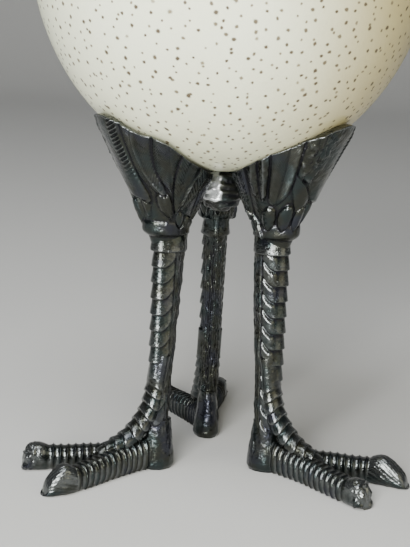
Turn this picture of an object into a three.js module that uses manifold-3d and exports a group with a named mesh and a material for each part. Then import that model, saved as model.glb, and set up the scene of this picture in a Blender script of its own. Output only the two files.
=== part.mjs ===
// An ostrich egg standing blunt end down on three cast ostrich legs, soldered together under it.
// Millimetres, +Z up. The origin is on the ground, under the middle of the whole object.
import * as THREE from 'three';
import { mergeVertices } from 'three/addons/utils/BufferGeometryUtils.js';
import Module from 'manifold-3d';

const wasm = await Module();
wasm.setup();

// ---- driving dimensions ----
const GAP = 0.3;                // clearance kept where two pieces touch
const EGG_RADIUS = 64;          // half the egg's width
const EGG_HALF_LENGTH = 73.4;   // half the egg's length
const EGG_CENTRE_Z = 173.1;     // height of the egg's middle above the ground
const FOOT_RADIUS = 21.75;      // from the stand's middle to the foot of each shank
const CUFF_BOTTOM = 74.5;       // the smooth ring round the top of the shank
const CUFF_TOP = 79.7;
const CUFF_SWELL = 1.0;         // how far the ring stands out from the shank
const SCUTE_PITCH = 5.36;       // height of one scale on the front of the shank
const SCUTE_COUNT = 12;
const SCUTE_STEP = 0.6;         // how far one scale's lower edge overhangs the next
const SHANK_SIDES = 12;
const TOE_SIDES = 8;
const TOE_HALF_WIDTH = 3.7;
const TOE_RING_PITCH = 2.5;     // spacing of the rings round the toes
const TOE_RING_DEPTH = 0.5;
const SOLDER_RADIUS = 7.4;
const SOLDER_CENTRE_Z = 92.6;
const SOLDER_HALF_HEIGHT = 6.8;

// Angles of the grooves between the thigh's feathers, in degrees toward the leg's left.
const FEATHER_EDGES = [31, 61, 91, 119, 152, 183, 214, 246, 275, 306];
const FEATHER_SWELL = 0.5;      // how far a feather stands out
const FEATHER_GROOVE = -0.35;
// Height of a toe's back along its line, from inside the shank out.
const TOE_BACK = [[0, 19], [6.5, 22.5], [8.3, 19.5], [10.2, 16.8], [12.7, 13.9], [15.7, 11.4], [18.9, 10.2],
  [22.5, 9.5], [28, 8.7], [34, 8.1], [60, 8.1]];
const NAIL_START = 32.4;        // where the nail begins, out from the shank's foot
const KNOB_LENGTH = 8;          // the blunt end of the toe without a nail

// place: bearing of the shank's foot; facing: where the toes point; splay: extra turn of the foot alone;
// reach: how far out the nail ends
const LEGS = [
  { name: 'front_left_leg', place: 216.5, facing: 211.4, splay: -6, reach: 43.9 },
  { name: 'front_right_leg', place: 331.3, facing: 327.5, splay: 4, reach: 47.4 },
  { name: 'back_leg', place: 93.7, facing: 95.8, splay: 4.5, reach: 43.9 },
];

const shellPaint = new THREE.MeshStandardMaterial({ color: 0xd9d3bf, roughness: 0.3, metalness: 0 });
shellPaint.name = 'eggshell';
const metalPaint = new THREE.MeshStandardMaterial({ color: 0x3f4444, roughness: 0.35, metalness: 0.9 });
metalPaint.name = 'pewter';
const solderPaint = new THREE.MeshStandardMaterial({ color: 0x8c8f90, roughness: 0.35, metalness: 0.9 });
solderPaint.name = 'solder';

// ---- helpers ----
const radians = THREE.MathUtils.degToRad;
const degrees = THREE.MathUtils.radToDeg;
const smooth = (x, a, b) => THREE.MathUtils.smoothstep(x, a, b);
const mix = (a, b, t) => THREE.MathUtils.lerp(a, b, t);
const bell = (x, width) => Math.exp(-((x / width) ** 2));

// Straight lines between the points of a table.
function interpolate(table, x) {
  const next = table.findIndex(([at]) => at > x);
  const [x0, y0] = table[next - 1];
  const [x1, y1] = table[next];
  return mix(y0, y1, (x - x0) / (x1 - x0));
}

// A closed skin over a stack of rings with equal numbers of points, fanned shut at both ends.
function loft(rings) {
  const count = rings[0].length;
  const points = [];
  const faces = [];
  rings.forEach((ring) => ring.forEach((p) => points.push(p.x, p.y, p.z)));
  for (let r = 0; r + 1 < rings.length; r += 1) {
    for (let i = 0; i < count; i += 1) {
      const a = r * count + i;
      const b = r * count + ((i + 1) % count);
      faces.push(a, b, b + count, a, b + count, a + count);
    }
  }
  const last = rings.length - 1;
  [0, last].forEach((r) => {
    const middle = new THREE.Vector3();
    rings[r].forEach((p) => middle.addScaledVector(p, 1 / count));
    const hub = points.length / 3;
    points.push(middle.x, middle.y, middle.z);
    for (let i = 0; i < count; i += 1) {
      const a = r * count + i;
      const b = r * count + ((i + 1) % count);
      if (r === 0) faces.push(hub, b, a);
      else faces.push(hub, a, b);
    }
  });
  const geometry = new THREE.BufferGeometry();
  geometry.setAttribute('position', new THREE.Float32BufferAttribute(points, 3));
  geometry.setIndex(faces);
  return geometry;
}

function ring(count, point) {
  return Array.from({ length: count }, (_, i) => point((i * 2 * Math.PI) / count));
}

function toSolid(geometry) {
  const plain = geometry.clone();
  plain.deleteAttribute('normal');
  plain.deleteAttribute('uv');
  const welded = mergeVertices(plain, 1e-4);
  const mesh = new wasm.Mesh({
    numProp: 3,
    vertProperties: Float32Array.from(welded.attributes.position.array),
    triVerts: Uint32Array.from(welded.index.array),
  });
  return new wasm.Manifold(mesh);
}

function toGeometry(solid) {
  const mesh = solid.getMesh();
  const geometry = new THREE.BufferGeometry();
  geometry.setAttribute('position', new THREE.Float32BufferAttribute(mesh.vertProperties, 3));
  geometry.setIndex(Array.from(mesh.triVerts));
  geometry.computeVertexNormals();
  return geometry;
}

// ---- the egg ----
function eggGeometry(growth) {
  const bands = 16;
  const profile = [];
  for (let i = 0; i <= bands; i += 1) {
    const a = (i * Math.PI) / bands;
    const radius = i === 0 || i === bands ? 0 : Math.sin(a) * (EGG_RADIUS + growth);
    profile.push(new THREE.Vector2(radius, -Math.cos(a) * (EGG_HALF_LENGTH + growth)));
  }
  const geometry = new THREE.LatheGeometry(profile, 32);
  geometry.rotateX(Math.PI / 2);
  geometry.translate(0, 0, EGG_CENTRE_Z);
  return geometry;
}

const eggUnderside = (r) => EGG_CENTRE_Z - EGG_HALF_LENGTH * Math.sqrt(1 - (r / EGG_RADIUS) ** 2);

// ---- the solder joint: a rounded lump filling the space between the three thighs ----
function solderGeometry(growth) {
  const geometry = new THREE.SphereGeometry(1, 12, 8);
  geometry.rotateX(Math.PI / 2);
  geometry.scale(SOLDER_RADIUS + growth, SOLDER_RADIUS + growth, SOLDER_HALF_HEIGHT + growth);
  geometry.translate(0, 0, SOLDER_CENTRE_Z);
  return geometry;
}

// ---- one leg; x outward from the shank's foot, y to the leg's left, z up ----
const shankX = (z) => -1.44 * (z / 50);
const shankDepth = (z) => 4.89 + 1.66 * ((z - 50) / 50);
const shankWidth = (z) => 3.71 + 0.67 * ((z - 50) / 50);

// Scales wrap the front and sides; their edges climb toward the back, which is a plain strip.
function shankRing(z, swell) {
  return ring(SHANK_SIDES, (a) => {
    const side = degrees(a > Math.PI ? a - 2 * Math.PI : a);
    const turn = Math.abs(side);
    const wrapped = 1 - smooth(turn, 86, 115);
    const climb = 2.9 * (THREE.MathUtils.clamp(turn - 48, 0, 42) / 42) ** 1.9;
    const level = Math.min(z + climb * smooth(z, 10, 20), CUFF_BOTTOM);
    const fuller = (bell(side - 32, 38) - 1.4 * bell(side - 150, 40)) * smooth(z, 10, 24);
    const grow = swell * wrapped + fuller;
    return new THREE.Vector3(
      shankX(level) + (shankDepth(level) + grow) * Math.cos(a),
      (shankWidth(level) + grow) * Math.sin(a),
      level,
    );
  });
}

function shankGeometry() {
  const top = CUFF_BOTTOM;
  const rings = [];
  for (let z = 2; z < 10; z += 4) rings.push(shankRing(z, 1.0 - z / 10));
  for (let n = SCUTE_COUNT; n >= 1; n -= 1) {
    const edge = top - n * SCUTE_PITCH;
    rings.push(shankRing(edge - 0.3, -SCUTE_STEP / 2));
    rings.push(shankRing(edge, SCUTE_STEP / 2));
  }
  rings.push(shankRing(top - 3.9, -SCUTE_STEP / 2));
  return loft(rings);
}

function cuffGeometry() {
  const levels = [[CUFF_BOTTOM - 4, -0.4], [CUFF_BOTTOM - 0.2, 0], [CUFF_BOTTOM, 0.85], [77, CUFF_SWELL],
    [CUFF_TOP, 0.5], [CUFF_TOP + 2.5, 0.2]];
  return loft(levels.map(([z, swell]) => ring(SHANK_SIDES, (a) => new THREE.Vector3(
    shankX(z) + (shankDepth(z) + swell) * Math.cos(a),
    (shankWidth(z) + swell) * Math.sin(a),
    z,
  ))));
}

// The feathered thigh flares from the cuff to a rim that carries the egg. Its feathers are broad lobes.
function thighGeometry() {
  const levels = [0, 0.14, 0.17, 0.45, 0.75, 1];
  const stations = FEATHER_EDGES.flatMap((edge, i) => {
    const next = i + 1 < FEATHER_EDGES.length ? FEATHER_EDGES[i + 1] : FEATHER_EDGES[0] + 360;
    return [
      [edge, FEATHER_GROOVE],
      [mix(edge, next, 0.22), FEATHER_SWELL],
      [mix(edge, next, 0.78), FEATHER_SWELL],
    ];
  });
  const rimAt = (a, shrink) => {
    const bulge = 4 * bell(degrees(a) - 70, 17);
    const reach = Math.sin(a) > 0 ? 15.8 : 17;
    const narrowing = 1 - 0.19 * Math.max(Math.cos(a), 0) - 0.25 * Math.min(Math.cos(a), 0) ** 2;
    const x = 4.1 + 19.8 * shrink * Math.cos(a);
    const y = -0.6 + bulge + reach * shrink * Math.sin(a) * narrowing;
    const z = eggUnderside(Math.min(Math.hypot(x + FOOT_RADIUS, y), 60));
    return new THREE.Vector3(x, y, z - 1.8 * Math.max(Math.cos(a), 0) ** 2 - 0.7);
  };
  const rings = levels.map((s) => stations.map(([angle, lobe]) => {
    const a = radians(angle % 360);
    const rim = rimAt(a, 1);
    const waist = s - 0.05 * Math.sin(Math.PI * s);
    const step = s < 0.15 ? -0.7 : 0;
    const swell = lobe * Math.min(s * 3, 1) + step;
    return new THREE.Vector3(
      mix(-0.8 + 6.3 * Math.cos(a), rim.x, waist) + swell * Math.cos(a),
      mix(4.6 * Math.sin(a), rim.y, waist) + swell * Math.sin(a),
      mix(CUFF_TOP - 0.4, rim.z, s),
    );
  }));
  rings.push(stations.map(([angle]) => rimAt(radians(angle % 360), 0.84).add(new THREE.Vector3(0, 0, 3.2))));
  return loft(rings);
}

// The lappet that hangs down the inner side of the shank.
function lappetGeometry() {
  const geometry = new THREE.SphereGeometry(1, 8, 6);
  geometry.scale(1.5, 2.8, 8.5);
  geometry.translate(-6, -0.5, 79.5);
  return geometry;
}

// A toe follows a bowed line over the ground; each ring is an arch with a flat sole. The left toe ends
// in a long rounded nail, the right one in a short knob.
function toeGeometry(path, end, nailed) {
  const line = new THREE.CatmullRomCurve3(path.map(([x, y]) => new THREE.Vector3(x, y, 0)));
  const length = line.getLength();
  const rings = [];
  const ending = (rest, reach) => Math.sqrt(Math.max(1 - (1 - Math.min(rest / reach, 1)) ** 2, 0.03));
  const arch = (s, swell) => {
    const at = line.getPointAt(s / length);
    const ahead = line.getTangentAt(s / length);
    const left = new THREE.Vector3(-ahead.y, ahead.x, 0);
    const remaining = length - s;
    const rise = remaining < end ? Math.sin(Math.PI * (remaining / end) ** 1.6) : 0;
    const dome = (nailed ? 2.1 : 0.9) * rise;
    const width = (TOE_HALF_WIDTH + swell + dome * 0.4) * (0.2 + 0.8 * ending(remaining, nailed ? 4.2 : 2.6));
    const back = interpolate(TOE_BACK, s) + swell + dome;
    const height = back * (0.1 + 0.9 * ending(remaining, nailed ? end * 0.66 : 3.6));
    return ring(TOE_SIDES, (a) => at.clone().addScaledVector(left, width * Math.sin(a)).setZ(
      Math.max(0, height * (0.47 + 0.53 * Math.cos(a))),
    ));
  };
  rings.push(arch(0.2, -1.2), arch(4, -0.4));
  for (let s = 7; s < length - end; s += TOE_RING_PITCH) {
    rings.push(arch(s, TOE_RING_DEPTH / 2), arch(s + TOE_RING_PITCH * 0.75, -TOE_RING_DEPTH / 2));
  }
  [0.9, 0.62, 0.3, 0.02].forEach((share) => rings.push(arch(length - end * share, 0)));
  return loft(rings.map((r) => r.reverse()));
}

function leftToeGeometry(reach) {
  const path = [[-3.2, -0.6], [4, 0.2], [10.5, 1.7], [19, 5.2], [27.5, 8.9], [35, 11.6], [reach, 12.4]];
  return toeGeometry(path, reach - NAIL_START, true);
}

function rightToeGeometry() {
  const path = [[-3.2, 0.6], [4, -0.2], [9, -1.0], [17, -3.0], [25, -6.0], [33, -9.0], [43, -12.0]];
  return toeGeometry(path, KNOB_LENGTH, false);
}

function heelGeometry() {
  const levels = [[0, 1.0], [3, 1.1], [7, 0.6], [12, 0.1], [16, -0.6]];
  return loft(levels.map(([z, swell]) => ring(10, (a) => new THREE.Vector3(
    -0.4 + (4.6 + swell) * Math.cos(a),
    (3.5 + swell) * Math.sin(a),
    z,
  ))));
}

function placed(geometry, leg, splay) {
  const place = radians(leg.place);
  geometry.rotateZ(radians(leg.facing + splay));
  geometry.translate(FOOT_RADIUS * Math.cos(place), FOOT_RADIUS * Math.sin(place), 0);
  return toSolid(geometry);
}

const eggClearance = toSolid(eggGeometry(GAP));
const solderClearance = toSolid(solderGeometry(GAP));

function legSolid(leg) {
  const upper = [shankGeometry(), cuffGeometry(), thighGeometry(), lappetGeometry()];
  const lower = [leftToeGeometry(leg.reach), rightToeGeometry(), heelGeometry()];
  let solid = placed(upper[0], leg, 0);
  upper.slice(1).forEach((g) => { solid = solid.add(placed(g, leg, 0)); });
  lower.forEach((g) => { solid = solid.add(placed(g, leg, leg.splay)); });
  return solid.subtract(eggClearance).subtract(solderClearance);
}

// ---- the whole object ----
const object = new THREE.Group();

function addPiece(name, geometry, material) {
  const mesh = new THREE.Mesh(geometry, material);
  mesh.name = name;
  object.add(mesh);
}

addPiece('egg', toGeometry(toSolid(eggGeometry(0))), shellPaint);
LEGS.forEach((leg) => addPiece(leg.name, toGeometry(legSolid(leg)), metalPaint));
addPiece('solder_joint', toGeometry(toSolid(solderGeometry(0)).subtract(eggClearance)), solderPaint);

// The stand's middle isn't quite the middle of the whole: the long back toes reach past the egg.
const box = new THREE.Box3().setFromObject(object);
const middle = box.getCenter(new THREE.Vector3());
object.children.forEach((mesh) => mesh.geometry.translate(-middle.x, -middle.y, -box.min.z));

export default object;
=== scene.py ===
import math

import bpy
import numpy as np
from bpy.props import FloatProperty, FloatVectorProperty, IntProperty, PointerProperty
from mathutils import Matrix, Vector


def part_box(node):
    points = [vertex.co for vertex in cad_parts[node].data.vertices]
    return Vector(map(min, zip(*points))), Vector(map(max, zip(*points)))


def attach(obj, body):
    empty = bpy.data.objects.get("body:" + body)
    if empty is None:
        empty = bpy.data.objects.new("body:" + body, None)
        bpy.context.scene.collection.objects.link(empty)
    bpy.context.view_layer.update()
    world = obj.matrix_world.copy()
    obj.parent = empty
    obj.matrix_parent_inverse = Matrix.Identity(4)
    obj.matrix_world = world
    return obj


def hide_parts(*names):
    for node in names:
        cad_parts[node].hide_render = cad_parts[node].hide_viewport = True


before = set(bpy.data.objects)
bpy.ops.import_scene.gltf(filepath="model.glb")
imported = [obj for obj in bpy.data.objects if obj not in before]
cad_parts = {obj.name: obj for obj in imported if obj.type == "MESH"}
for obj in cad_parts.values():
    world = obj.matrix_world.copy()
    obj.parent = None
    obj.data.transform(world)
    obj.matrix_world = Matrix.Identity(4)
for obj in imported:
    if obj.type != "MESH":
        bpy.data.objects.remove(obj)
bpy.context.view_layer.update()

bl_info = {
    "name": "Ostrich Egg on Leg Stand",
    "version": (1, 0, 0),
    "blender": (4, 5, 0),
    "location": "View3D > Sidebar > Egg Stand",
    "description": "Ostrich egg with pores on three cast ostrich legs",
    "category": "Add Mesh",
}

MM = 0.001
EGG_LOW, EGG_HIGH = (np.array(corner, float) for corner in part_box("egg"))
EGG_CENTRE = (EGG_LOW + EGG_HIGH) / 2 / MM
EGG_RADIUS = (EGG_HIGH[0] - EGG_LOW[0]) / 2 / MM
EGG_HALF_LENGTH = (EGG_HIGH[2] - EGG_LOW[2]) / 2 / MM
AXIS = np.array([EGG_CENTRE[0], EGG_CENTRE[1], 0.0])

# Each leg: the bearing of its foot, the way its toes point and the extra turn of its foot, in degrees,
# and how far out its nail reaches, in millimetres.
LEGS = {
    "front_left_leg": (216.5, 211.4, -6.0, 43.9),
    "front_right_leg": (331.3, 327.5, 4.0, 47.4),
    "back_leg": (93.7, 95.8, 4.5, 43.9),
}
# Distance of a shank's foot from the middle, heights of the cuff, and pitches of the scales and toe rings.
FOOT_RADIUS = 21.75
CUFF_BOTTOM, CUFF_TOP = 74.5, 79.7
MID_SHANK = 50.0
SCUTE_PITCH = 5.36
TOE_RING_PITCH = 2.45
# How far the metal stays clear of the shell.
SHELL_GAP = 0.25

# The camera: its place in millimetres from the foot of the egg's axis, the ways its right, top and front
# point, its film's height, and its focal length and the picture's height in pixels.
CAMERA_PLACE = np.array([0.0, -427.80, 162.43])
CAMERA_RIGHT = np.array([0.99881127, 0.01945486, 0.04469408])
CAMERA_UP = np.array([-0.04790983, 0.22283483, 0.97367823])
CAMERA_AHEAD = np.array([-0.00898337, 0.97466207, -0.22350202])
FILM_HEIGHT = 36.0
FOCAL_PIXELS, PICTURE_PIXELS = 1307.22, 547.0


# ---------------------------------------------------------------- shapes in numpy

def smooth(x, low, high):
    """Smooth step from 0 at low to 1 at high."""
    t = np.clip((np.asarray(x, float) - low) / (high - low), 0.0, 1.0)
    return t * t * (3.0 - 2.0 * t)


def mix(a, b, t):
    """Straight blend from a to b."""
    return a + (b - a) * t


def bell(x, width):
    """Bell curve of height 1 and the given half width."""
    return np.exp(-(np.asarray(x, float) / width) ** 2)


def hashed(ix, iy, iz, seed):
    """A repeatable number from 0 to 1 for each whole-number point, from a folded sine."""
    h = np.sin(ix * 127.1 + iy * 311.7 + iz * 74.7 + seed * 53.3) * 43758.5453
    return h - np.floor(h)


def value_noise(points, scale, seed=0):
    """Smooth noise from -1 to 1: hashed values at the corners of a lattice, blended with smooth steps."""
    p = np.asarray(points, float) / scale
    base = np.floor(p)
    f = p - base
    f = f * f * (3.0 - 2.0 * f)
    total = np.zeros(p.shape[:-1])
    for dx in (0, 1):
        for dy in (0, 1):
            for dz in (0, 1):
                weight = (f[..., 0] if dx else 1 - f[..., 0]) * (f[..., 1] if dy else 1 - f[..., 1])
                weight = weight * (f[..., 2] if dz else 1 - f[..., 2])
                total += weight * hashed(base[..., 0] + dx, base[..., 1] + dy, base[..., 2] + dz, seed)
    return total * 2.0 - 1.0


def grains(points, scale, seed=0):
    """Two octaves of smooth noise, for cast grain and lumps."""
    return 0.65 * value_noise(points, scale, seed) + 0.35 * value_noise(points, scale * 0.48, seed + 7)


def standing_out(relief, rows, cols):
    """How far each point of a closed grid stands out from its surroundings: the relief less its mean
    over a window of rows x columns, taken twice for a soft edge."""
    mean = relief
    for _ in range(2):
        padded = np.pad(mean, ((rows, rows), (0, 0)), mode="edge")
        mean = sum(padded[k:k + relief.shape[0]] for k in range(2 * rows + 1)) / (2 * rows + 1)
        mean = sum(np.roll(mean, k, 1) for k in range(-cols, cols + 1)) / (2 * cols + 1)
    return relief - mean


class Surface:
    """Grids gathered into one mesh: points in millimetres, and named numbers kept at each point."""

    def __init__(self, *names):
        self.names = names
        self.points, self.faces, self.values = [], [], {name: [] for name in names}
        self.count = 0

    def grid(self, points, wrap=True, **values):
        """Add a grid of shape rows x columns x 3. Columns wrap round; the first and last rows are
        fanned shut at their mean points. Rows run up where columns run left to right seen from outside."""
        rows, cols = points.shape[:2]
        row, col = np.meshgrid(np.arange(rows - 1), np.arange(cols if wrap else cols - 1), indexing="ij")
        after = (col + 1) % cols
        a, b = row * cols + col, row * cols + after
        quads = np.stack([a, b, b + cols, a + cols], -1).reshape(-1, 4) + self.count
        self.faces.extend(quads.tolist())
        extra = []
        if wrap:
            for r, flip in ((0, True), (rows - 1, False)):
                hub = self.count + rows * cols + len(extra)
                extra.append(r)
                ring = self.count + r * cols + np.arange(cols)
                nxt = np.roll(ring, -1)
                middle = np.full(cols, hub)
                tri = np.stack([nxt, ring, middle] if flip else [ring, nxt, middle], -1)
                self.faces.extend(tri.tolist())
        flat = points.reshape(-1, 3)
        hubs = [points[r].mean(0) for r in extra]
        self.points.append(np.vstack([flat] + hubs) if hubs else flat)
        for name in self.names:
            v = np.broadcast_to(values.get(name, 0.0), (rows, cols)).astype(float)
            self.values[name].append(np.concatenate([v.ravel()] + [[v[r].mean()] for r in extra]))
        self.count += rows * cols + len(extra)

    def build(self, name, place, material):
        """Make the Blender object: points carried by place(points) and turned into metres."""
        points = place(np.vstack(self.points)) * MM
        mesh = bpy.data.meshes.new(name)
        mesh.from_pydata(points.tolist(), [], self.faces)
        for label in self.names:
            attribute = mesh.attributes.new(label, "FLOAT", "POINT")
            attribute.data.foreach_set("value", np.concatenate(self.values[label]).astype(np.float32))
        mesh.polygons.foreach_set("use_smooth", np.ones(len(mesh.polygons), bool))
        mesh.materials.append(material)
        mesh.update()
        obj = bpy.data.objects.new(name, mesh)
        bpy.context.scene.collection.objects.link(obj)
        return obj


def around(cols):
    """Angles of the columns of a closed grid."""
    return np.arange(cols) * 2.0 * np.pi / cols


def signed(a):
    """Angles from 0 to a full turn, brought to between minus and plus half a turn."""
    return np.where(a > np.pi, a - 2 * np.pi, a)


def wrapped(angle):
    """Differences of angles, brought to between minus and plus half a turn."""
    return (angle + np.pi) % (2 * np.pi) - np.pi


def normals_of(points):
    """Outward normals of a closed grid, from the cross product of its column and row differences."""
    across = np.roll(points, -1, 1) - np.roll(points, 1, 1)
    upward = np.gradient(points, axis=0)
    n = np.cross(across, upward)
    return n / np.maximum(np.linalg.norm(n, axis=-1, keepdims=True), 1e-9)


# ---------------------------------------------------------------- the egg

def egg_bottom(r):
    """Height of the egg's underside at distance r from its axis: the lower half of an ellipse."""
    lift = np.sqrt(np.maximum(1.0 - (np.asarray(r, float) / EGG_RADIUS) ** 2, 0.0))
    return EGG_CENTRE[2] - EGG_HALF_LENGTH * lift


def egg_point(z_share, bearing, out=0.0):
    """Point of the egg at a share from -1, bottom, to 1, top, and a bearing, moved out along the normal."""
    r = np.sqrt(np.maximum(1.0 - z_share ** 2, 0.0))
    n = np.stack([r * np.cos(bearing), r * np.sin(bearing), z_share], -1)
    size = np.array([EGG_RADIUS, EGG_RADIUS, EGG_HALF_LENGTH])
    normal = n / size
    normal = normal / np.linalg.norm(normal, axis=-1, keepdims=True)
    return n * size + out * normal + EGG_CENTRE, normal


# ---------------------------------------------------------------- one leg
# In a leg's own frame x points outward from the shank's foot, y to the leg's left, and z up.

def shank_x(z):
    """How far out the shank's middle line is at height z: it leans toward the stand's middle."""
    return -1.44 * z / MID_SHANK


def shank_depth(z):
    """The shank's half depth at height z: it widens upward."""
    return 4.89 + 1.66 * (z - MID_SHANK) / MID_SHANK


def shank_width(z):
    """The shank's half width at height z: it widens upward."""
    return 3.71 + 0.67 * (z - MID_SHANK) / MID_SHANK


def bare_shank(z, a):
    """Points of the shank without its relief: an ellipse about the leaning middle line."""
    return np.stack(np.broadcast_arrays(
        shank_x(z) + shank_depth(z) * np.cos(a), shank_width(z) * np.sin(a), z), -1)


def shank_rows():
    """The shank: an ellipse carried up from the ground. Scales wrap its front and sides; each stands out
    at its lower edge and draws in toward the next, with a round shoulder on the right side. A groove on
    each side parts them from a narrow back strip of small ridges. The edges climb toward the back. The
    front left is fuller than the rest, and the back left is hollow."""
    rows, cols = 330, 132
    z = np.linspace(0.0, CUFF_BOTTOM + 4.0, rows)[:, None]
    a = around(cols)[None, :]
    turned = np.degrees(signed(a))
    turn = np.abs(signed(a))
    # Past 48 degrees from the front the scales' edges climb, by 2.9 mm at 90 degrees.
    climb = 2.9 * (np.maximum(np.degrees(turn) - 48.0, 0.0) / 42.0) ** 1.9
    level = z - climb
    count = (CUFF_BOTTOM - level) / SCUTE_PITCH
    jitter = 0.05 * np.sin(np.ceil(count) * 12.9898)
    share = 1.0 - (count + jitter) % 1.0
    front = 1.0 - smooth(turn, 1.62, 1.80)
    onscale = front * smooth(z, 7.0, 13.0)
    # How far a scale's face stands out by its share of the height, 0 at its lower edge: plain slopes in
    # front and on the left, round shoulders on the right.
    sloped = 0.42 - 0.80 * share
    shouldered = 0.30 + 0.16 * share - 0.84 * smooth(share, 0.66, 1.0)
    rounded = smooth(-turned, 40.0, 56.0)
    face = mix(sloped, shouldered, rounded)
    edge = smooth(share, 0.0, 0.05) * face - 0.30 * (1 - smooth(share, 0.0, 0.04))
    groove = -0.55 * bell(turn - 1.74, 0.10)
    base = bare_shank(z, a)
    # The strip of ridges along the back.
    strip = smooth(turn, 1.8, 2.0)
    ridges = 0.13 * np.sin(turn * 15.0 + 2.5 * value_noise(base, 6.0, 3))
    ridges = ridges + 0.42 * grains(base * [1, 1, 0.55], 1.2, 5) + 0.35 * grains(base * [1, 1, 0.3], 2.6, 6)
    relief = onscale * edge + groove * smooth(z, 4.0, 12.0) + strip * ridges * smooth(z, 8.0, 16.0)
    heel = 1.15 * (1 - smooth(z, 1.0, 13.0)) - 0.5 * (1 - smooth(z, 0.0, 1.4))
    fuller = (bell(turned - 32.0, 38.0) - 1.4 * bell(turned - 150.0, 40.0)) * smooth(z, 10.0, 24.0)
    relief = relief + fuller + 0.05 * grains(base, 0.9, 9)
    points = base + (relief + heel)[..., None] * normals_of(base) * [1, 1, 0]
    proud = standing_out(relief, 8, 6)
    # Painted highlight: the bright colour is pushed onto the round shoulders of the scales on the right
    # side, where the lamps' highlights fall.
    shoulder_highlight = 1.6 * bell(share - 0.84, 0.13) * rounded * onscale
    return points, np.where(proud < -0.2, proud / 0.2, proud) + 0.45 - 0.75 * strip + shoulder_highlight


def cuff_rows():
    """The smooth ring at the top of the shank: the shank's ellipse swollen by a rounded bead, less so at
    the back, with faint lumps."""
    rows, cols = 40, 132
    z = np.linspace(CUFF_BOTTOM - 0.6, CUFF_TOP + 2.4, rows)[:, None]
    a = around(cols)[None, :]
    share = (z - CUFF_BOTTOM) / (CUFF_TOP - CUFF_BOTTOM)
    bead = 1.15 * np.clip(1 - (np.abs(share - 0.36) / 0.68) ** 3.0, 0, 1) ** 0.6 * (1 - 0.8 * share)
    under = -1.2 * (1 - smooth(share, -0.09, 0.03))
    base = bare_shank(z, a)
    lumps = 0.20 * grains(base, 2.0, 11)
    fading = 1 - 0.75 * smooth(np.abs(signed(a)), 2.0, 2.5)
    relief = (bead + under) * fading + lumps
    # The whole bead of the cuff takes much of the bright colour: partly rubbed wear, partly a painted
    # highlight on the cuff.
    return base + relief[..., None] * normals_of(base) * [1, 1, 0], (relief - 0.2) / 0.8


def hanging(middle, tip, half, tip_s, lift=0.1, scruff=0.5):
    """A long feather from the rim to a pointed tip, its width following a quarter circle."""
    outline = []
    for share in (0.0, 0.04, 0.12, 0.25, 0.45, 0.75, 1.0):
        line = mix(tip, middle, share)
        reach = half * math.sqrt(1.0 - (1.0 - min(share / 0.75, 1.0)) ** 2)
        outline.append((mix(tip_s, 1.02, share), line - reach, line, line + reach))
    return (lift, 0.18, 0.07, 1.2, 0.9, scruff, tuple(outline))


def lappet(middle, half, low, high, lift=0.0):
    """A small drop over the ankle, pointed below and round above."""
    shape = ((0.0, 0.10), (0.06, 0.42), (0.22, 0.84), (0.5, 1.0), (0.8, 0.86), (0.93, 0.55), (1.0, 0.12))
    outline = tuple((mix(low, high, t), middle - half * w, middle, middle + half * w) for t, w in shape)
    return (lift, 0.0, 0.0, 1.0, 0.0, 0.35, outline)


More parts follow.
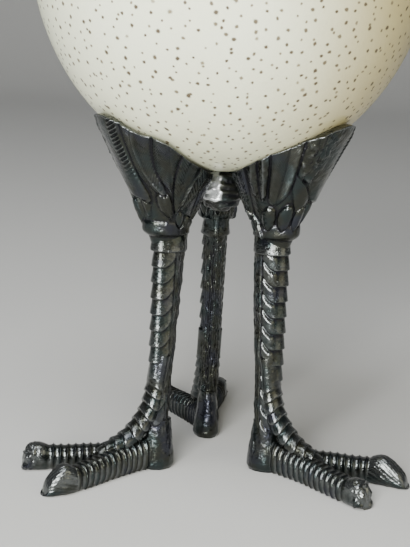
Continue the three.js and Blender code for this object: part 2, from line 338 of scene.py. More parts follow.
# Feathers of the thigh, the lower ones first. Positive angles are the leg's left side. Each has its lift
# and the height of its quill in millimetres, the depth and pitch of its barbs in millimetres, the barbs'
# slope, its roughness, and its outline from the tip up: height as a share of the thigh, then the angles
# in degrees of its right edge, quill and left edge.
FEATHERS = (
    hanging(176.0, 178.0, 15.0, 0.14),
    hanging(152.0, 150.0, 15.0, 0.20),
    hanging(203.0, 202.0, 15.0, 0.20),
    hanging(228.0, 224.0, 13.0, 0.16),
    (0.05, 0.2, 0.12, 1.1, 1.1, 0.5, (
        (0.37, 99, 101, 104), (0.44, 99, 106, 113), (0.52, 101, 111, 122), (0.76, 109, 122, 138),
        (1.02, 118, 132, 150))),
    (0.10, 0.0, 0.10, 1.1, 1.0, 0.5, (
        (0.29, 87, 90, 92), (0.35, 84, 90, 97), (0.43, 83, 91, 101), (0.54, 82, 92, 105),
        (0.65, 82, 93, 109), (0.77, 84, 96, 112), (0.88, 87, 99, 115), (1.02, 92, 101, 119))),
    (0.05, 0.0, 0.05, 1.0, 0.6, 0.7, (
        (0.60, -111, -108, -105), (0.64, -114, -108, -102), (0.80, -115, -108, -100),
        (1.02, -114, -106, -99))),
    (0.30, 0.3, 0.05, 1.0, 0.6, 0.7, (
        (0.50, -98, -96, -94), (0.55, -100, -94, -90), (0.62, -99, -94, -89), (0.75, -99, -92, -86),
        (1.02, -98, -92, -85))),
    (0.05, 0.0, 0.09, 1.0, 0.8, 0.15, (
        (0.24, -27, -25, -21), (0.29, -37, -27, -15), (0.34, -43, -29, -10), (0.43, -50, -33, -8),
        (0.52, -55, -37, -10), (0.66, -55, -40, -20))),
    (0.35, -0.25, 0.15, 1.0, 1.2, 0.10, (
        (0.41, -80, -76, -71), (0.43, -85, -75, -65), (0.47, -88, -74, -60), (0.52, -88, -73, -57),
        (0.61, -87, -71, -55), (0.79, -85, -69, -54), (1.02, -85, -68, -54))),
    (0.10, 0.0, 0.0, 1.0, 0.0, 0.2, (
        (0.19, 24, 28, 33), (0.23, 20, 29, 37), (0.30, 18, 30, 42), (0.36, 20, 30, 38))),
    (0.25, 0.15, 0.03, 1.0, 0.6, 0.05, (
        (0.20, 79, 81, 83), (0.24, 67, 78, 84), (0.28, 58, 75, 85), (0.35, 54, 70, 84), (0.42, 55, 67, 82),
        (0.47, 59, 67, 76))),
    (0.45, -0.15, 0.16, 0.95, 1.1, 0.10, (
        (0.51, 75, 77, 79), (0.55, 69, 77, 80), (0.60, 64, 77, 81), (0.69, 60, 76, 82),
        (0.77, 59, 75, 84), (0.85, 59, 75, 86), (0.94, 60, 75, 89), (1.02, 61, 74, 91))),
    (0.35, 0.35, 0.12, 1.0, 1.1, 0.10, (
        (0.44, 64, 67, 70), (0.47, 53, 65, 71), (0.52, 42, 59, 69), (0.57, 36, 53, 66), (0.65, 32, 47, 61),
        (0.82, 31, 43, 59), (1.02, 31, 45, 60))),
    (0.50, 0.0, 0.24, 1.45, 0.35, 1.0, (
        (0.32, 34, 36, 40), (0.34, 24, 34, 44), (0.36, -8, 28, 46), (0.41, -18, 22, 45),
        (0.48, -28, 14, 40), (0.55, -37, 9, 35), (0.66, -53, 6, 32), (0.82, -54, 6, 31),
        (1.02, -54, 11, 31))),
    lappet(-88.0, 15.5, 0.12, 0.40, 0.55),
    lappet(-54.0, 16.5, 0.105, 0.37, 0.55),
    lappet(-20.0, 15.5, 0.10, 0.33, 0.4),
    lappet(6.0, 10.0, 0.14, 0.34),
    lappet(102.0, 11.0, 0.12, 0.34),
    lappet(128.0, 12.0, 0.08, 0.32, 0.1),
    lappet(155.0, 13.0, 0.06, 0.28),
    lappet(205.0, 13.0, 0.06, 0.28),
    lappet(231.0, 11.0, 0.10, 0.34, 0.1),
)
# Raised cords, by height and angle: one from the back of the cuff up the inner side of the thigh, one
# along the edge of a feather.
CORDS = (
    ((0.0, -99.0), (0.10, -105.0), (0.18, -112.0), (0.27, -119.0), (0.35, -126.0), (0.43, -134.0),
     (0.60, -154.0)),
    ((0.40, 99.0), (0.46, 100.0), (0.52, 102.0), (0.64, 105.0), (0.76, 110.0), (0.88, 115.0),
     (1.02, 121.0)),
)


# Barbs deeper than this make a ladder beside the quill instead of covering the feather.
LADDER_BARBS = 0.2


def feather_relief(base, a, s):
    """Height of the feather coat over the thigh, by the topmost feather at each point: it climbs fast
    from its outline and then levels off, with a ridge at its quill and fine slanting barbs. Below the
    feathers is a half-round ring, and the cords lie over everything."""
    across_step = np.linalg.norm(np.roll(base, -1, 1) - np.roll(base, 1, 1), axis=-1) / 2
    per_turn = across_step / (a[0, 1] - a[0, 0])
    per_share = np.linalg.norm(np.gradient(base, axis=0), axis=-1) / (s[1, 0] - s[0, 0])
    ring_middle, ring_half = 82.2, 2.6
    height = -0.30 + 0.95 * np.sqrt(np.clip(1 - ((base[..., 2] - ring_middle) / ring_half) ** 2, 0, 1))
    rough = np.full(height.shape, 0.3)
    for lift, quill_high, barbs, pitch, slope, scruff, outline in FEATHERS:
        table = np.array(outline, float)
        right, quill, left = (np.radians(np.interp(s, table[:, 0], table[:, k])) for k in (1, 2, 3))
        off = wrapped(a - quill)
        gaps = []
        for gap, edge in ((off + quill - right, right), (left - quill - off, left)):
            slant = np.gradient(edge, axis=0) / (s[1, 0] - s[0, 0]) * per_turn / per_share
            gaps.append(gap * per_turn / np.sqrt(1 + slant ** 2))
        gap = np.minimum(*gaps)
        inside = (gap > 0) & (s > table[0, 0]) & (s < table[-1, 0])
        gap = np.maximum(gap, 0)
        across = off * per_turn
        body = lift - 0.35 + 0.85 * (1 - np.exp(-gap / 0.55)) + 0.35 * smooth(gap, 0.0, 3.0)
        body = body + quill_high * bell(across, 0.40) * smooth(gap, 0.3, 1.2)
        lines = np.sin((s * per_share - slope * np.abs(across)) * 2 * np.pi / pitch)
        ribbed, rough_here = smooth(np.abs(across), 0.2, 0.6), scruff
        if barbs > LADDER_BARBS:
            ribbed = smooth(across, 0.6, 1.6) * (1 - smooth(across, 4.2, 5.6)) * smooth(s, 0.42, 0.78)
            rough_here = mix(scruff, 0.1, smooth(across, -9.0, -3.0))
        body = body + 1.4 * barbs * lines * ribbed * smooth(gap, 0.25, 0.8) * smooth(s, 0.3, 0.6)
        height = np.where(inside, body, height)
        rough = np.where(inside, rough_here, rough)
    for cord in CORDS:
        heights, bearings = np.array(cord).T
        off = wrapped(a - np.radians(np.interp(s, heights, bearings))) * per_turn
        ends = smooth(s - heights[0], -0.02, 0.05) * smooth(heights[-1] - s, 0.0, 0.12)
        height = height + 0.8 * bell(off, 0.5) * ends
    return height, rough


def thigh_rows():
    """The thigh: slightly hollow lines from an ellipse over the cuff to a rim under the egg, with the
    feather coat laid on along the normals, then a lip and a lining that follows the egg's underside."""
    cols = 420
    a = around(cols)[None, :]
    s = np.linspace(-0.06, 1.0, 190)[:, None]
    waist = s - 0.05 * np.sin(np.pi * np.clip(s, 0, 1))
    # The brim: an ellipse drawn in at the front and back, with a swelling on its left, at the shell.
    reach = np.where(np.sin(a) > 0, 15.8, 17.0)
    bump = 4.0 * bell(np.degrees(a) - 70.0, 17.0)
    front, behind = np.maximum(np.cos(a), 0.0), np.minimum(np.cos(a), 0.0)
    brim_x = 4.1 + 19.8 * np.cos(a)
    brim_y = -0.6 + bump + reach * np.sin(a) * (1 - 0.19 * front - 0.25 * behind ** 2)
    brim_z = egg_bottom(np.minimum(np.hypot(brim_x + FOOT_RADIUS, brim_y), 60.0)) - 1.8 * front ** 2 - 0.7
    base = np.stack(np.broadcast_arrays(
        mix(-0.8 + 6.3 * np.cos(a), brim_x, waist), mix(4.6 * np.sin(a), brim_y, waist),
        mix(CUFF_TOP - 0.4, brim_z, s)), -1)
    height, rough = feather_relief(base, a, s)
    settle = smooth(s, -0.06, 0.04) * (1 - 0.35 * smooth(s, 0.92, 1.0))
    wavy = base + 1.2 * np.stack([value_noise(base, 3.4, seed) for seed in (27, 28, 29)], -1)
    strands = np.abs(grains(wavy * [1, 1, 0.40], 1.7, 23)) * smooth(rough, 0.2, 1.0)
    relief = height * settle + (0.05 + 0.16 * rough) * grains(base, 1.1, 21) + 0.85 * strands
    relief = relief + 0.05 * grains(base, 3.0, 25) + 0.5 * bell(s - 0.062, 0.036)
    points = base + relief[..., None] * normals_of(base)
    rim_x, rim_y, rim_z = points[-1, :, 0], points[-1, :, 1], points[-1, :, 2]
    # The lining shrinks from the rim to a point near the brim's middle, just under the shell.
    middle_x, middle_y = 3.2, -0.6
    lining = []
    for shrink in np.concatenate([[0.97, 0.92], np.linspace(0.86, 0.02, 22)]):
        x = mix(middle_x, rim_x, shrink)
        y = mix(middle_y, rim_y, shrink)
        under = egg_bottom(np.hypot(x + FOOT_RADIUS, y)) - SHELL_GAP
        z = np.minimum(under, rim_z + 0.35 * (1 - shrink) / 0.08)
        lining.append(np.stack([x, y, z], -1))
    points = np.concatenate([points, np.array(lining)])
    # The last rows at the rim are pushed strongly toward the bright colour: a thin bright line along the
    # rim, partly wear and partly a painted highlight.
    proud = standing_out(relief, 3, 4) / 0.26 - 0.35 + 2.6 * smooth(s, 0.985, 1.0)
    return points, np.concatenate([proud, np.full((len(lining), cols), 0.6)])


def toe_line(points):
    """A smooth line through a few ground points, as cubic pieces whose slopes are the mean of their
    neighbours', and the distance along it."""
    p = np.array(points, float)
    slope = np.gradient(p, axis=0)
    t = np.linspace(0, len(p) - 1, 600)
    i = np.minimum(t.astype(int), len(p) - 2)
    f = (t - i)[:, None]
    h00, h10 = 2 * f ** 3 - 3 * f ** 2 + 1, f ** 3 - 2 * f ** 2 + f
    h01, h11 = -2 * f ** 3 + 3 * f ** 2, f ** 3 - f ** 2
    line = h00 * p[i] + h10 * slope[i] + h01 * p[i + 1] + h11 * slope[i + 1]
    run = np.concatenate([[0.0], np.cumsum(np.linalg.norm(np.diff(line, axis=0), axis=1))])
    return line, run


# Ground lines of the toes, from inside the shank out. The left toe's nail ends beyond its last point.
LEFT_TOE = ((-3.2, -0.6), (4, 0.2), (10.5, 1.7), (19, 5.2), (27.5, 8.9), (35, 11.6))
RIGHT_TOE = ((-3.2, 0.6), (4, -0.2), (9, -1.0), (17, -3.0), (25, -6.0), (33, -9.0), (43.0, -12.0))
# Height of a toe's back along its line, from inside the shank out.
TOE_BACK = ((0.0, 12.6), (6.0, 11.6), (10.0, 10.3), (15.0, 9.3), (22.0, 8.9), (28.0, 8.6), (34.0, 8.1))
# The instep's outline from the front of the shank down between the toes: distance out, height.
INSTEP = ((2.6, 40.0), (3.5, 34.0), (4.2, 29.0), (5.3, 23.5), (7.1, 19.5), (9.7, 16.0), (12.8, 13.1),
          (16.2, 11.2), (19.5, 9.4), (22.5, 6.5))


def instep_rows():
    """The instep: a flattened tube under a hollow curve from the shank to the fork of the toes. Broad
    scales lie along it like those of the shank."""
    curve, run = toe_line(INSTEP)
    rows, cols = 170, 60
    s = np.linspace(0.0, run[-1], rows)
    at = np.stack([np.interp(s, run, curve[:, k]) for k in (0, 1)], -1)
    ahead = np.gradient(at, axis=0)
    ahead /= np.linalg.norm(ahead, axis=1, keepdims=True)
    a = around(cols)[None, :]
    s = s[:, None]
    taper = 1 - 0.35 * smooth(s, run[-1] - 16.0, run[-1])
    deep, wide = 3.0 * taper, 4.3 * taper
    climb = 1.6 * np.sin(a) ** 2
    share = ((s - climb) / 3.3) % 1.0
    relief = 0.75 * share - 0.45 * smooth(share, 0.90, 1.0) - 0.35
    relief = relief * smooth(s, 9.0, 13.0)
    back = (np.cos(a) - 1.0) * deep
    x = at[:, :1] - ahead[:, 1:] * back
    z = at[:, 1:] + ahead[:, :1] * back
    base = np.stack(np.broadcast_arrays(x, wide * np.sin(a), z), -1)[:, ::-1]
    relief = relief[:, ::-1] + 0.06 * grains(base, 1.2, 45)
    points = base + relief[..., None] * normals_of(base)
    points[..., 2] = np.maximum(points[..., 2], 0.2)
    return points, standing_out(relief, 4, 4) / 0.3 + 0.5


def toe_rows(points, nail_length, nailed):
    """A toe: an arch with a flat sole carried along a bowed line. Rounded rings follow each other along
    it, up to a domed, striated nail on the left toe or a rough blunt end on the right one."""
    line, run = toe_line(points)
    length = run[-1]
    rows, cols = 260, 64
    s = np.linspace(0.0, length - 0.02, rows)
    at = np.stack([np.interp(s, run, line[:, k]) for k in (0, 1)], -1)
    ahead = np.gradient(at, axis=0)
    ahead /= np.linalg.norm(ahead, axis=1, keepdims=True)
    left = np.stack([-ahead[:, 1], ahead[:, 0]], -1)
    a = around(cols)[None, :]
    s = s[:, None]
    rest = length - s
    ringed = smooth(s, 4.0, 7.0) * smooth(rest, nail_length - 0.4, nail_length + 0.4)
    ring = np.abs(np.sin(np.pi * (s - 6.0) / TOE_RING_PITCH)) ** 0.6
    relief = ringed * (0.72 * ring - 0.45)
    # The nail or blunt end swells over the last stretch of the toe.
    over = np.clip(rest / nail_length, 0, 1)
    dome = (2.1 if nailed else 0.9) * np.sin(np.pi * over ** 1.6) * (rest < nail_length)
    cos, sin = np.cos(a), np.sin(a)
    if nailed:
        onnail = smooth(nail_length - rest, 0.3, 1.5)
        relief = relief + 0.13 * np.sin(a * 22.0 + s * 1.6) * onnail * smooth(rest, 0.4, 2.0)
        relief = relief + 0.75 * smooth(nail_length - rest, 0.0, 0.6) * smooth(cos, -0.7, 0.0)

    def ending(reach):
        """How far the toe has opened out from its tip: a quarter circle over the given reach."""
        return np.sqrt(np.maximum(1 - (1 - np.minimum(rest / reach, 1)) ** 2, 0.0))

    half = (3.55 + dome * 0.42) * (0.30 + 0.70 * ending(3.2 if nailed else 2.6))
    back = np.interp(s, *np.array(TOE_BACK).T) + dome
    high = back * (0.10 + 0.90 * ending(nail_length * 0.66 if nailed else 3.6))
    blunt = 0.86
    side = np.sign(sin) * np.abs(sin) ** blunt
    up = 0.47 + 0.53 * np.sign(cos) * np.abs(cos) ** blunt
    base = np.stack(np.broadcast_arrays(
        at[:, :1] + left[:, :1] * half * side, at[:, 1:] + left[:, 1:] * half * side, high * up), -1)
    if not nailed:
        rough = smooth(nail_length - rest, nail_length * 0.35, nail_length * 0.6)
        relief = relief + rough * (0.8 * grains(base, 1.5, 31) + 0.35 * grains(base, 0.7, 32))
    relief = relief + 0.05 * grains(base, 0.8, 33)
    points = base + relief[..., None] * normals_of(base)
    points[..., 2] = np.maximum(points[..., 2], 0.0)
    # Painted highlight: the nail, or the blunt end, is made brighter on its upper side, over its rubbed
    # wear.
    bright = 1.5 * smooth(nail_length - rest, 0.0, 1.5) * smooth(cos, -0.5, 0.6)
    return points, standing_out(relief, 5, 2) / 0.25 + 0.4 + bright


def heel_rows():
    """The heel: an ellipse that swells toward the ground and rounds in at the sole."""
    rows, cols = 60, 72
    z = np.linspace(0.0, 17.0, rows)[:, None]
    a = around(cols)[None, :]
    swell = 1.15 * (1 - smooth(z, 2.0, 14.0)) - 0.7 * (1 - smooth(z, 0.0, 1.6))
    swell = swell - 0.6 * smooth(z, 12.0, 17.0)
    base = np.stack(np.broadcast_arrays(
        -0.6 + (4.55 + swell) * np.cos(a), (3.55 + swell) * np.sin(a), z), -1)
    relief = 0.30 * grains(base * [1, 1, 0.4], 2.2, 41) + 0.12 * grains(base, 0.9, 42)
    return base + relief[..., None] * normals_of(base) * [1, 1, 0], relief / 0.5


def lappet_rows():
    """The lappet on the inner side of the shank: a flattened drop with its small end down."""
    rows, cols = 70, 48
    t = np.linspace(0.0, np.pi, rows)[:, None]
    a = around(cols)[None, :]
    wide = np.sin(t) * (1 - 0.35 * np.cos(t))
    z = 79.5 - 8.9 * np.cos(t)
    base = np.stack(np.broadcast_arrays(
        -5.6 + 1.5 * wide * np.cos(a), -0.3 + 4.3 * wide * np.sin(a), z), -1)
    relief = 0.30 * grains(base * [1, 1, 0.35], 1.4, 51) - 0.1
    return base + relief[..., None] * normals_of(base), relief / 0.4


def leg_place(name, foot=False):
    """A function that carries points from the leg's own frame to the stand: a turn, then a step out."""
    bearing, facing, splay, _ = LEGS[name]
    turn, out = math.radians(facing + (splay if foot else 0.0)), math.radians(bearing)
    cos, sin = math.cos(turn), math.sin(turn)
    step = FOOT_RADIUS * np.array([math.cos(out), math.sin(out), 0.0])

    def place(points):
        x, y, z = np.moveaxis(points, -1, 0)
        return np.stack([x * cos - y * sin, x * sin + y * cos, z], -1) + step + AXIS

    return place


# ---------------------------------------------------------------- solder and floor

def solder_rows(middle, half):
    """The solder: a drop with flattened ends under the egg. Its left side is lumpy and silver above,
    with painted shade over its lower part, and its right side has level ridges. Nothing of it rises into
    the shell."""
    t = np.linspace(0.03, np.pi - 0.03, 110)[:, None]
    a = around(160)[None, :]
    round_out = np.sin(t) ** 0.8
    base = np.stack(np.broadcast_arrays(
        round_out * np.cos(a) * half[0], round_out * np.sin(a) * half[1], -np.cos(t) * half[2]), -1)
    x, z = base[..., 0], base[..., 2]
    right = smooth(x + 0.9 * value_noise(base, 2.6, 67), -1.6, 1.4)
    # The silver: the solder's own colour on the left, cut off over the lower part, which stays dark as
    # painted shade.
    lit_silver = (1 - right) * smooth(z / half[2] + 0.12 * value_noise(base, 2.0, 69), -0.46, -0.30)
    ridges = 0.32 * np.sin(z * 2.6 + 1.6 * value_noise(base, 5.0, 61)) * right
    relief = ridges + 1.1 * grains(base * [0.7, 1, 1.3], 2.4, 63) * (1 - 0.6 * right)
    relief = relief + 0.16 * grains(base, 1.0, 65)
    points = base * 0.94 + relief[..., None] * normals_of(base)
    ceiling = egg_bottom(np.hypot(points[..., 0], points[..., 1])) - SHELL_GAP - middle[2]
    points[..., 2] = np.minimum(points[..., 2], ceiling)
    return points, relief * 0.9 + 3.0 * lit_silver - 0.9


def floor_rows():
    """The floor, in metres: a level sheet that bends up through a quarter circle into a wall behind."""
    front, back, radius, wall = -2.0, 1.2, 0.6, 2.0
    across, sweep = np.meshgrid(np.linspace(-2.5, 2.5, 3), np.linspace(0, 1, 60), indexing="ij")
    bend = np.clip((sweep - 0.5) / 0.3, 0, 1) * np.pi / 2
    level = sweep < 0.5
    y = np.where(level, mix(front, back, sweep / 0.5), back + radius * np.sin(bend))
    z = np.where(level, 0.0, radius * (1 - np.cos(bend))) + np.clip((sweep - 0.8) / 0.2, 0, 1) * wall
    return np.stack([across, y, z], -1)[::-1]


# ---------------------------------------------------------------- pores

def pore_places(rng, spacing):
    """Shares of height and bearings of the pores. A spiral with equal steps in height covers the egg
    evenly; each point is then moved a little, and a few are left out."""
    area = 4 * np.pi * EGG_RADIUS * (EGG_RADIUS + EGG_HALF_LENGTH) / 2
    count = int(area / spacing ** 2 / 0.95)
    index = np.arange(count)
    step = 1 / np.sqrt(count)
    share = np.clip(1 - 2 * (index + 0.5) / count + rng.normal(0, 0.55, count) * step, -1, 1)
    narrowing = np.sqrt(np.maximum(1 - share ** 2, 0.02))
    bearing = index * np.pi * (3 - np.sqrt(5)) + rng.normal(0, 0.75, count) * step / narrowing * 1.7
    keep = (np.abs(share) < 0.9995) & (rng.random(count) > 0.06)
    return share[keep], bearing[keep]


def pore_surface(rng, share, bearing, large):
    """The pores: each a ragged, slightly stretched flower of eight sides round its middle, in two rings,
    just off the shell. Small ones and those near the bottom are fainter."""
    sides, count = 8, len(share)
    centre, normal = egg_point(share, bearing, out=0.02)
    east = np.stack([-np.sin(bearing), np.cos(bearing), np.zeros(count)], -1)
    north = np.cross(normal, east)
    size = large * np.clip(rng.lognormal(-0.26, 0.20, count), 0.55, 1.1)
    stretch = 1 + rng.normal(0, 0.07, count) - 0.12 * smooth(-share, 0.4, 0.9)
    lean = rng.normal(0, 0.3, count)
    faint = rng.normal(0.28, 0.30, count) - (size / large - 0.7) * 0.5 + 0.4 * smooth(-share, 0.60, 0.92)
    faint = np.clip(faint, 0, 1)
    one = east * np.cos(lean)[:, None] + north * np.sin(lean)[:, None]
    two = np.cross(normal, one)
    angle = around(sides)[None, :, None]
    size, stretch = size[:, None, None], stretch[:, None, None]
    ragged = 1 + 0.10 * rng.normal(0, 1, (count, sides, 1))
    petals = size * ragged * (
        np.cos(angle) * one[:, None, :] * stretch + np.sin(angle) * two[:, None, :] / stretch)
    middle = centre[:, None, :]
    points = np.concatenate([middle, middle + petals * 0.5, middle + petals], 1)
    per_pore = 2 * sides + 1
    hub = (np.arange(count) * per_pore)[:, None]
    k = np.arange(sides)[None, :]
    inner, inner_next = hub + 1 + k, hub + 1 + (k + 1) % sides
    tris = np.stack([np.broadcast_to(hub, inner.shape), inner, inner_next], -1)
    quads = np.stack([inner, inner + sides, inner_next + sides, inner_next], -1)
    surface = Surface("tint", "rim")
    surface.points.append(points.reshape(-1, 3))
    surface.faces.extend(tris.reshape(-1, 3).tolist())
    surface.faces.extend(quads.reshape(-1, 4).tolist())
    rim = np.concatenate([[0], np.full(sides, 0.5), np.ones(sides)])
    surface.values["tint"].append(np.repeat(faint, per_pore))
    surface.values["rim"].append(np.tile(rim, count))
    return surface


# ---------------------------------------------------------------- materials

class Sock:
    """A shader socket that can be used in sums and products, so that a material reads as a formula."""

    def __init__(self, graph, socket):
        self.graph, self.socket = graph, socket

    def _math(self, operation, *inputs):
        return self.graph.node("ShaderNodeMath", {"operation": operation}, inputs)

    def __add__(self, other):
        return self._math("ADD", self, other)

    def __radd__(self, other):
        return self._math("ADD", other, self)

    def __sub__(self, other):
        return self._math("SUBTRACT", self, other)

    def __rsub__(self, other):
        return self._math("SUBTRACT", other, self)

    def __mul__(self, other):
        return self._math("MULTIPLY", self, other)

    def __rmul__(self, other):
        return self._math("MULTIPLY", other, self)

    def ramp(self, low, high):
        """0 below low, 1 above high, smooth between."""
        return self.graph.node("ShaderNodeMapRange", {"interpolation_type": "SMOOTHSTEP"},
                               {"Value": self, "From Min": low, "From Max": high})


class Graph:
    """The node tree of one material."""

    def __init__(self, name, **constants):
        self.material = bpy.data.materials.new(name)
        self.material.use_nodes = True
        self.tree = self.material.node_tree
        self.shader = self.tree.nodes["Principled BSDF"]
        for key, value in constants.items():
            self.shader.inputs[key.replace("_", " ")].default_value = value

    def node(self, kind, settings=None, inputs=None, output=0):
        """Make a node, give it its settings and inputs, and hand back one output."""
        node = self.tree.nodes.new(kind)
        for key, value in (settings or {}).items():
            setattr(node, key, value)
        pairs = inputs.items() if isinstance(inputs, dict) else enumerate(inputs or ())
        for key, value in pairs:
            if isinstance(value, Sock):
                self.tree.links.new(value.socket, node.inputs[key])
            else:
                node.inputs[key].default_value = value
        return Sock(self, node.outputs[output])

    def coords(self):
        """The point's place in the object, in metres."""
        return self.node("ShaderNodeTexCoord", output="Object")

    def along(self, axis):
        """How far along an axis the point is, in metres: 0 is x and 2 is z."""
        return self.node("ShaderNodeSeparateXYZ", None, {0: self.coords()}, output=axis)

    def attribute(self, name):
        """A number kept at each point of the mesh."""
        return self.node("ShaderNodeAttribute", {"attribute_name": name}, output="Fac")

    def noise(self, size_mm, detail):
        """Noise from 0 to 1 whose lumps are about size_mm across."""
        return self.node("ShaderNodeTexNoise", None, {
            "Vector": self.coords(), "Scale": 1.0 / (size_mm * MM), "Detail": detail}, output="Fac")

    def blend(self, share, first, second):
        """Mix two colours."""
        node = self.tree.nodes.new("ShaderNodeMix")
        node.data_type = "RGBA"
        for index, value in ((0, share), (6, first), (7, second)):
            if isinstance(value, Sock):
                self.tree.links.new(value.socket, node.inputs[index])
            else:
                node.inputs[index].default_value = value if index == 0 else (*value[:3], 1.0)
        return Sock(self, node.outputs[2])

    def bump(self, height, strength, distance_mm):
        """A normal bent by a height."""
        return self.node("ShaderNodeBump", None, {
            "Strength": strength, "Distance": distance_mm * MM, "Height": height})

    def out(self, **inputs):
        """Link the varying inputs and hand back the material."""
        for key, value in inputs.items():
            self.tree.links.new(value.socket, self.shader.inputs[key.replace("_", " ")])
        return self.material


def shell_material(cream, tan):
    """Glossy eggshell: cream, tanner in soft patches, to one side and near the bottom, faintly dimpled."""
    g = Graph("eggshell", Roughness=0.34, IOR=1.5, Coat_Weight=0.35, Coat_Roughness=0.12)
    patches = g.noise(38.0, 3.0).ramp(0.35, 0.75)
    # Tanner and darker towards +X and towards the bottom.
    side = g.along(0).ramp(0.0, 0.062)
    low = 1.0 - g.along(2).ramp(0.098, 0.150)
    colour = g.blend(patches * 0.09 + side * 1.15 + low * 0.30, cream, tan)
    fine = g.noise(1.1, 2.0)
    colour = g.blend(fine.ramp(0.55, 0.8) * 0.05, colour, tan)
    return g.out(Base_Color=colour, Normal=g.bump(fine + g.noise(4.0, 1.0) * 1.4, 0.17, 0.30))


def pore_material(dark, pale):
    """Pore stain: brown in the middle, paling and fading out towards the rim."""
    g = Graph("pore_stain", Roughness=0.5, IOR=1.45)
    faint = g.attribute("tint")
    rim = g.attribute("rim")
    colour = g.blend(rim.ramp(0.35, 1.0) * 0.7, g.blend(faint, dark, pale), pale)
    return g.out(Base_Color=colour, Alpha=(1.0 - rim.ramp(0.30, 1.0)) * (0.95 - faint * 0.42))


# Colour of the metal's hollows.
GRIME = (0.004, 0.004, 0.007)


def pewter_material(name, dark, bright, roughness, metallic):
    """Dark patinated pewter: black in the hollows, rubbed bright in patches on the high places, with
    olive, blue-green and violet tints. The same bright colour also paints highlights where the relief
    attribute was raised for them."""
    g = Graph(name, Metallic=metallic, IOR=1.5, Coat_Weight=0.4, Coat_Roughness=0.12, Coat_IOR=1.5)
    relief = g.attribute("relief")
    red, green, blue = dark
    olive = (red * 1.12, green * 1.05, blue * 0.82)
    teal = (red * 0.80, green * 1.05, blue * 1.10)
    violet = (red * 0.96, green * 0.94, blue * 1.38)
    tint = g.blend(g.noise(7.0, 3.0).ramp(0.40, 0.62), olive, teal)
    tint = g.blend(g.noise(10.0, 3.0).ramp(0.52, 0.68), tint, violet)
    patch = g.noise(2.0, 4.0) - 0.5
    # Rubbed wear and painted highlights: the bright colour goes where the relief attribute is high.
    wear_and_highlight = (relief + patch * 2.0).ramp(0.0, 1.8)
    hollow = 1.0 - (relief + patch * 0.6).ramp(-1.5, -0.2)
    colour = g.blend(wear_and_highlight, tint, bright)
    colour = g.blend(hollow, colour, GRIME)
    rough = roughness + hollow * 0.3 - wear_and_highlight * 0.05 + patch * 0.2
    grain = g.noise(0.6, 3.0) + g.noise(2.0, 3.0) * 1.4
    return g.out(Base_Color=colour, Roughness=rough, Normal=g.bump(grain, 0.6, 0.25))


# ---------------------------------------------------------------- settings

class EggStandSettings(bpy.types.PropertyGroup):
    pore_spacing: FloatProperty(
        name="Pore spacing", description="Mean distance between pores, in millimetres",
        default=3.65, min=2.0, max=8.0)
    pore_size: FloatProperty(
        name="Pore size", description="Radius of a large pore stain, in millimetres",
        default=0.92, min=0.1, max=1.5)
    seed: IntProperty(name="Seed", description="Places of the pores", default=4)
    cream: FloatVectorProperty(
        name="Shell", description="Colour of the eggshell", subtype="COLOR", size=3,
        default=(0.85, 0.885, 0.68), min=0, max=1)
    # The tan colour is blended over the shell towards +X and towards the bottom, making it darker there.
    tan: FloatVectorProperty(
        name="Shell stain", description="Colour of the stained side of the shell", subtype="COLOR", size=3,
        default=(0.47, 0.40, 0.185), min=0, max=1)
    pore_dark: FloatVectorProperty(
        name="Pore", description="Colour of the dark pores", subtype="COLOR", size=3,
        default=(0.095, 0.070, 0.042), min=0, max=1)
    pore_pale: FloatVectorProperty(
        name="Faint pore", description="Colour of the faint pores", subtype="COLOR", size=3,
        default=(0.34, 0.28, 0.17), min=0, max=1)
    metal: FloatVectorProperty(
        name="Pewter", description="Colour of the dark pewter", subtype="COLOR", size=3,
        default=(0.024, 0.027, 0.026), min=0, max=1)
    # The bright colour of rubbed wear, also used for painted highlights.
    wear_and_highlight: FloatVectorProperty(
        name="Rubbed edge", description="Colour of the pewter where it is rubbed bright",
        subtype="COLOR", size=3, default=(0.115, 0.123, 0.123), min=0, max=1)
    # The solder colour: its own silver, made lighter to paint light onto the lump, which lies in shade
    # under the egg.
    solder: FloatVectorProperty(
        name="Solder", description="Colour of the bright solder", subtype="COLOR", size=3,
        default=(0.66, 0.68, 0.69), min=0, max=1)
    floor: FloatVectorProperty(
        name="Floor", description="Colour of the floor", subtype="COLOR", size=3,
        default=(0.56, 0.56, 0.55), min=0, max=1)


# ---------------------------------------------------------------- operators

class EGGSTAND_OT_egg(bpy.types.Operator):
    """Make the eggshell: an ellipse turned about the upright axis"""
    bl_idname = "eggstand.egg"
    bl_label = "Egg"

    def execute(self, context):
        settings = context.scene.egg_stand
        shell = Surface()
        share = -np.cos(np.linspace(0.004, np.pi - 0.004, 200))[:, None]
        points, _ = egg_point(*np.broadcast_arrays(share, around(300)[None, :]))
        shell.grid(points)
        egg = shell.build("eggshell", lambda p: p, shell_material(settings.cream, settings.tan))
        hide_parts("egg")
        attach(egg, "root")
        return {"FINISHED"}


class EGGSTAND_OT_pores(bpy.types.Operator):
    """Make the pores: small stains spread evenly over the shell, with jittered places and sizes"""
    bl_idname = "eggstand.pores"
    bl_label = "Pores"

    def execute(self, context):
        settings = context.scene.egg_stand
        rng = np.random.default_rng(settings.seed)
        share, bearing = pore_places(rng, settings.pore_spacing)
        pores = pore_surface(rng, share, bearing, settings.pore_size)
        piece = pores.build("pores", lambda p: p, pore_material(settings.pore_dark, settings.pore_pale))
        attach(piece, "root")
        return {"FINISHED"}


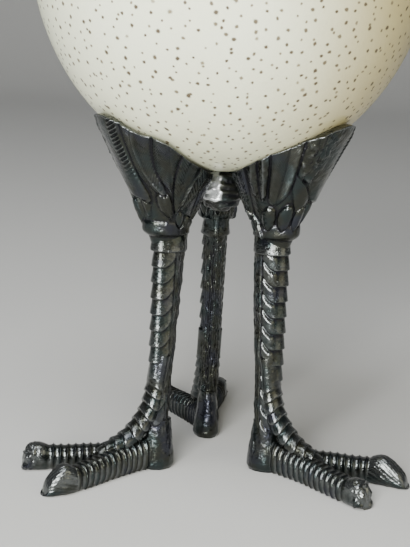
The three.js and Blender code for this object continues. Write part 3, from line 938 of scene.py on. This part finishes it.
class EGGSTAND_OT_legs(bpy.types.Operator):
    """Make the three legs: a scaly shank with its cuff, feathered thigh and ringed toes"""
    bl_idname = "eggstand.legs"
    bl_label = "Legs"

    def execute(self, context):
        settings = context.scene.egg_stand
        pewter = pewter_material("pewter", settings.metal, settings.wear_and_highlight, 0.20, 0.92)
        thigh = thigh_rows()
        shank = (shank_rows(), cuff_rows(), lappet_rows())
        foot = (toe_rows(RIGHT_TOE, 8.0, False), heel_rows(), instep_rows())
        nail_start, nail_side = 32.4, 12.4
        for name in LEGS:
            reach = LEGS[name][3]
            nailed = toe_rows((*LEFT_TOE, (reach, nail_side)), reach - nail_start, True)
            for part, grids in (("thigh", (thigh,)), ("shank", shank), ("foot", (nailed, *foot))):
                surface = Surface("relief")
                for points, relief in grids:
                    surface.grid(points, relief=relief)
                place = leg_place(name, foot=part == "foot")
                piece = surface.build(name.replace("leg", part), place, pewter)
                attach(piece, "root")
                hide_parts(name)
        return {"FINISHED"}


class EGGSTAND_OT_solder(bpy.types.Operator):
    """Make the solder joint: a lumpy drop under the egg, ridged on one side"""
    bl_idname = "eggstand.solder"
    bl_label = "Solder"

    def execute(self, context):
        settings = context.scene.egg_stand
        low, high = (np.array(corner, float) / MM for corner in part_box("solder_joint"))
        middle = (low + high) / 2
        points, relief = solder_rows(middle, (high - low) / 2)
        lump = Surface("relief")
        lump.grid(points, relief=relief)
        metal = pewter_material("solder", settings.metal, settings.solder, 0.34, 0.62)
        piece = lump.build("solder_lump", lambda p: p + middle, metal)
        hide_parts("solder_joint")
        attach(piece, "root")
        return {"FINISHED"}


def add_light(name, place, aim, size, power, colour):
    """An oblong area light at a place, turned toward a point."""
    data = bpy.data.lights.new(name, "AREA")
    data.shape = "RECTANGLE"
    data.size, data.size_y = size
    data.energy = power
    data.color = colour
    lamp = bpy.data.objects.new(name, data)
    lamp.location = place
    lamp.rotation_euler = (Vector(aim) - Vector(place)).to_track_quat("-Z", "Y").to_euler()
    bpy.context.scene.collection.objects.link(lamp)


def add_world(colour, strength):
    """An even, dim light from all round."""
    world = bpy.data.worlds.new("studio")
    world.use_nodes = True
    background = world.node_tree.nodes["Background"]
    background.inputs["Color"].default_value = colour
    background.inputs["Strength"].default_value = strength
    bpy.context.scene.world = world


def add_camera():
    """The camera, from the values at the top."""
    data = bpy.data.cameras.new("camera")
    data.sensor_width = FILM_HEIGHT
    data.lens = FILM_HEIGHT * FOCAL_PIXELS / PICTURE_PIXELS
    camera = bpy.data.objects.new("camera", data)
    matrix = np.eye(4)
    matrix[:3, :3] = np.stack([CAMERA_RIGHT, CAMERA_UP, -CAMERA_AHEAD], 1)
    matrix[:3, 3] = (CAMERA_PLACE + AXIS) * MM
    camera.matrix_world = Matrix(matrix.tolist())
    bpy.context.scene.collection.objects.link(camera)
    bpy.context.scene.camera = camera


class EGGSTAND_OT_stage(bpy.types.Operator):
    """Set the floor, the studio lights and the camera"""
    bl_idname = "eggstand.stage"
    bl_label = "Stage"

    def execute(self, context):
        floor = Surface()
        floor.grid(floor_rows() / MM, wrap=False)
        g = Graph("floor", Roughness=0.8, Base_Color=(*context.scene.egg_stand.floor, 1.0))
        floor.build("floor", lambda p: p, g.material)
        add_light("window", (-0.25, -0.94, 0.37), (0, 0, 0.13), (0.44, 0.66), 24.0, (1.0, 1.0, 0.97))
        add_light("fill", (0.9, -0.7, 0.4), (0, 0, 0.1), (0.8, 0.8), 3.6, (1.0, 0.93, 0.68))
        add_light("top", (-0.20, -0.36, 1.08), (0, 0, 0.06), (0.62, 0.46), 8.0, (0.97, 0.99, 1.0))
        add_world((0.95, 0.97, 1.0, 1.0), 0.16)
        add_camera()
        return {"FINISHED"}


class EGGSTAND_PT_panel(bpy.types.Panel):
    bl_idname = "EGGSTAND_PT_panel"
    bl_label = "Egg Stand"
    bl_space_type = "VIEW_3D"
    bl_region_type = "UI"
    bl_category = "Egg Stand"

    def draw(self, context):
        settings = context.scene.egg_stand
        for name in settings.__annotations__:
            self.layout.prop(settings, name)
        for operator in OPERATORS:
            self.layout.operator(operator.bl_idname)


OPERATORS = (EGGSTAND_OT_egg, EGGSTAND_OT_pores, EGGSTAND_OT_legs, EGGSTAND_OT_solder, EGGSTAND_OT_stage)
CLASSES = (EggStandSettings, *OPERATORS, EGGSTAND_PT_panel)


def register():
    for cls in CLASSES:
        bpy.utils.register_class(cls)
    bpy.types.Scene.egg_stand = PointerProperty(type=EggStandSettings)


def unregister():
    del bpy.types.Scene.egg_stand
    for cls in reversed(CLASSES):
        bpy.utils.unregister_class(cls)


def main():
    register()
    bpy.ops.eggstand.egg()
    bpy.ops.eggstand.pores()
    bpy.ops.eggstand.legs()
    bpy.ops.eggstand.solder()
    bpy.ops.eggstand.stage()


if __name__ == "__main__":
    main()
